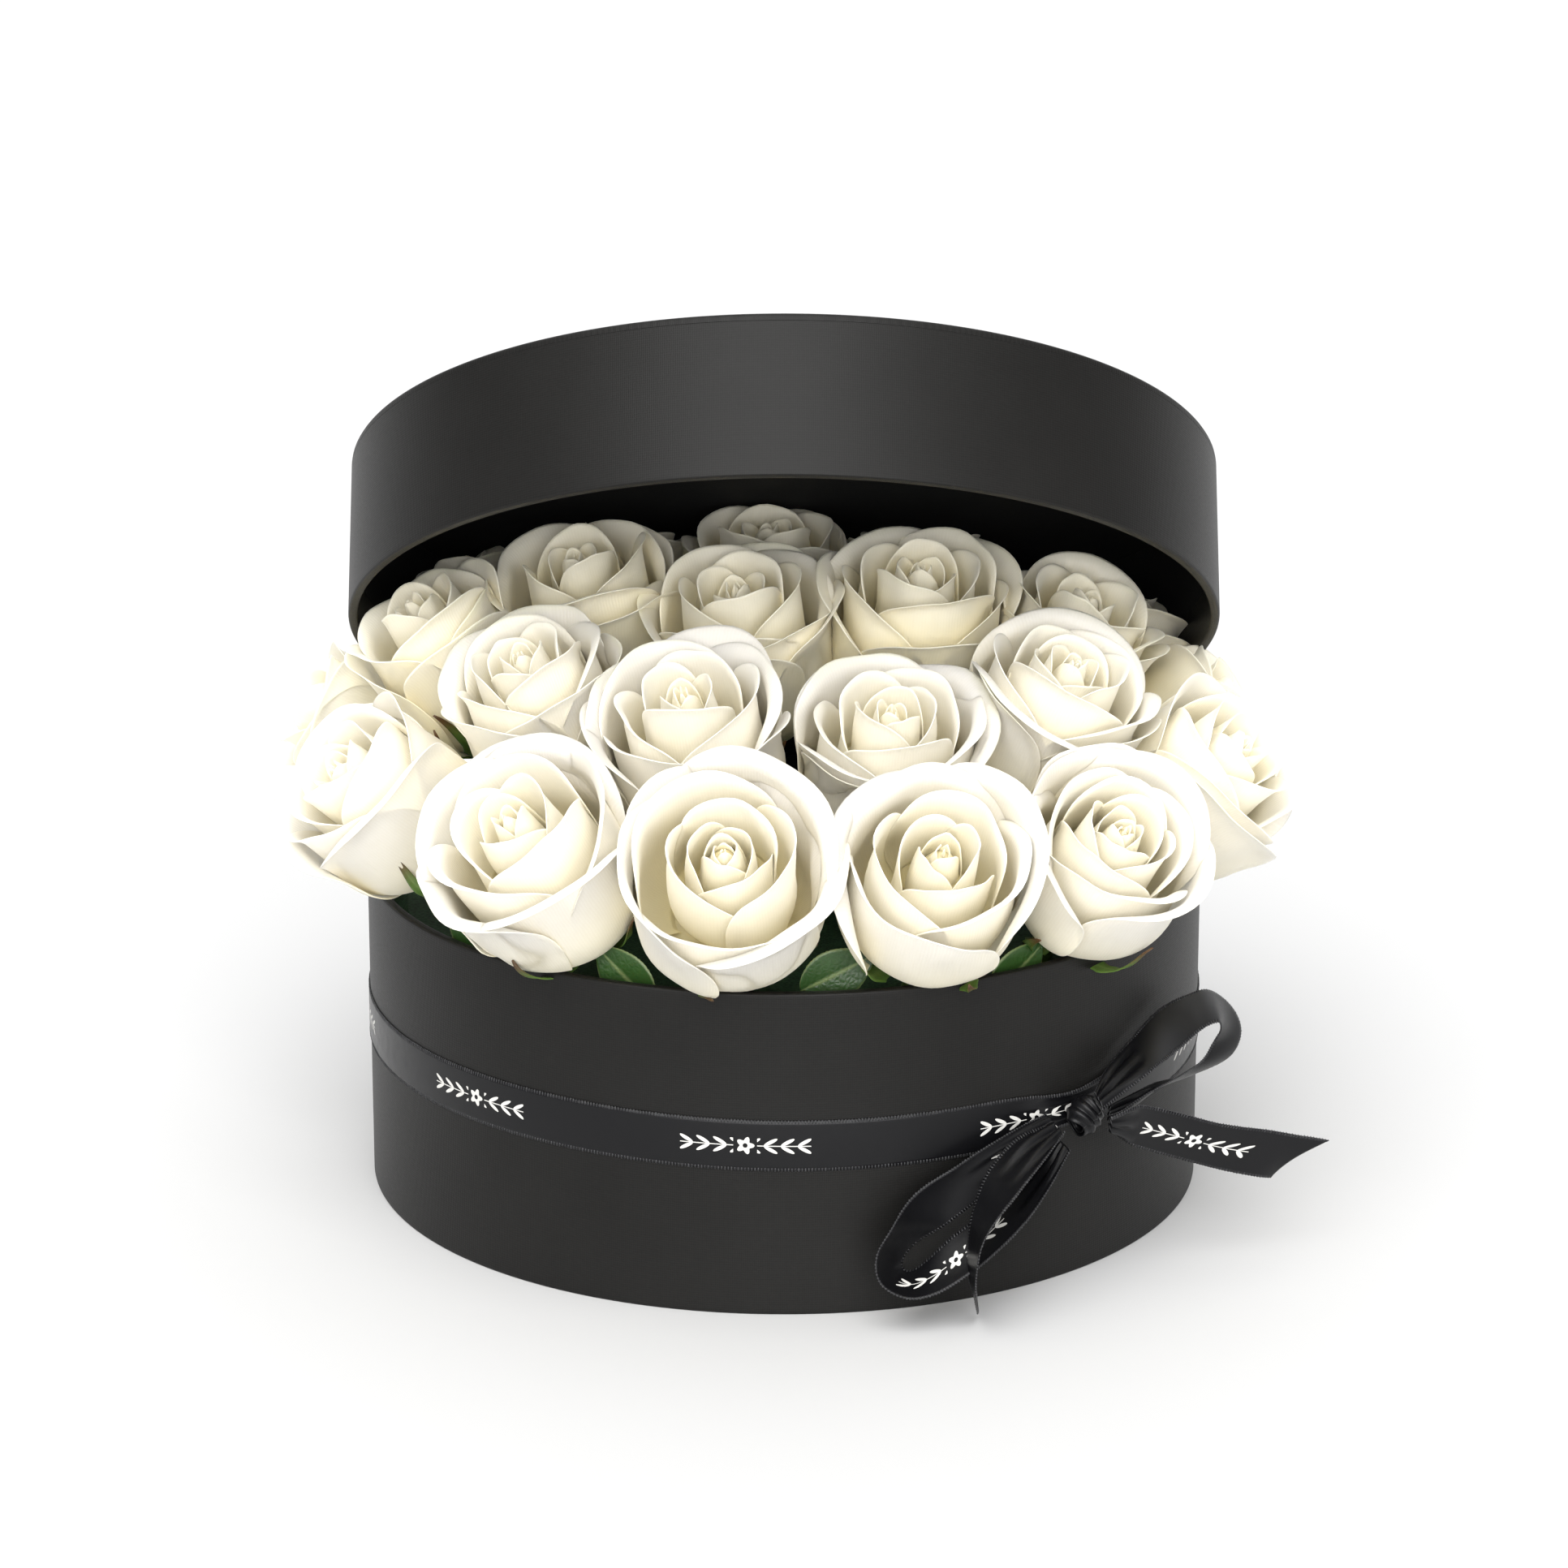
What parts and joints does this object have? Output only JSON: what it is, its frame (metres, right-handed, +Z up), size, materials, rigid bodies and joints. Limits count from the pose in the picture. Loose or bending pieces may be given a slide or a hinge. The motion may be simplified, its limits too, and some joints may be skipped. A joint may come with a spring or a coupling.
{
  "type": "flower box",
  "caption": "Round paper-covered box of cut white roses in wet foam, tied with a satin ribbon bow, its loose deep lid leaning open over the flowers.",
  "frame": {"origin": "middle of the box's flat underside, on the box's axis", "axes": "+Z up along the box's axis, -Y towards the open front, +Y towards the side that the lid leans on, +X to the right"},
  "size_m": [0.3106, 0.3013, 0.2792],
  "materials": {
    "grey_board": "matte",
    "linen_paper": "matte",
    "lining_paper": "matte",
    "liner_plastic": "satin",
    "wet_foam": "matte",
    "satin_ribbon": "satin",
    "green_stem": "satin",
    "green_leaf": "satin",
    "rose_petal": "matte"
  },
  "bodies": {
    "root": {"box_wall": "grey_board", "box_base": "grey_board", "box_wrap": "linen_paper", "base_cover": "linen_paper", "box_lining": "lining_paper", "liner_tray": "liner_plastic", "floral_foam": "wet_foam", "ribbon_band": "satin_ribbon", "ribbon_knot": "satin_ribbon", "ribbon_loop_upper": "satin_ribbon", "ribbon_loop_lower": "satin_ribbon", "ribbon_tail_right": "satin_ribbon", "ribbon_tail_lower": "satin_ribbon", "stems": "green_stem", "calyxes": "green_leaf", "leaves": "green_leaf", "rose_01": "rose_petal", "rose_02": "rose_petal", "rose_03": "rose_petal", "rose_04": "rose_petal", "rose_05": "rose_petal", "rose_06": "rose_petal", "rose_07": "rose_petal", "rose_08": "rose_petal", "rose_09": "rose_petal", "rose_10": "rose_petal", "rose_11": "rose_petal", "rose_12": "rose_petal", "rose_13": "rose_petal", "rose_14": "rose_petal", "rose_15": "rose_petal", "rose_16": "rose_petal", "rose_17": "rose_petal", "rose_18": "rose_petal", "rose_19": "rose_petal", "rose_20": "rose_petal", "rose_21": "rose_petal", "rose_22": "rose_petal", "rose_23": "rose_petal", "rose_24": "rose_petal", "rose_25": "rose_petal", "rose_26": "rose_petal"},
    "lid": {"lid_wall": "grey_board", "lid_top": "grey_board", "lid_wall_wrap": "linen_paper", "lid_top_wrap": "linen_paper", "lid_lining": "lining_paper"}
  },
  "joints": [
    {"name": "lid_lift", "type": "slide", "parent": "root", "child": "lid", "axis": [0, 0.5693, 0.8221], "range_m": [0, 0.12]}
  ]
}
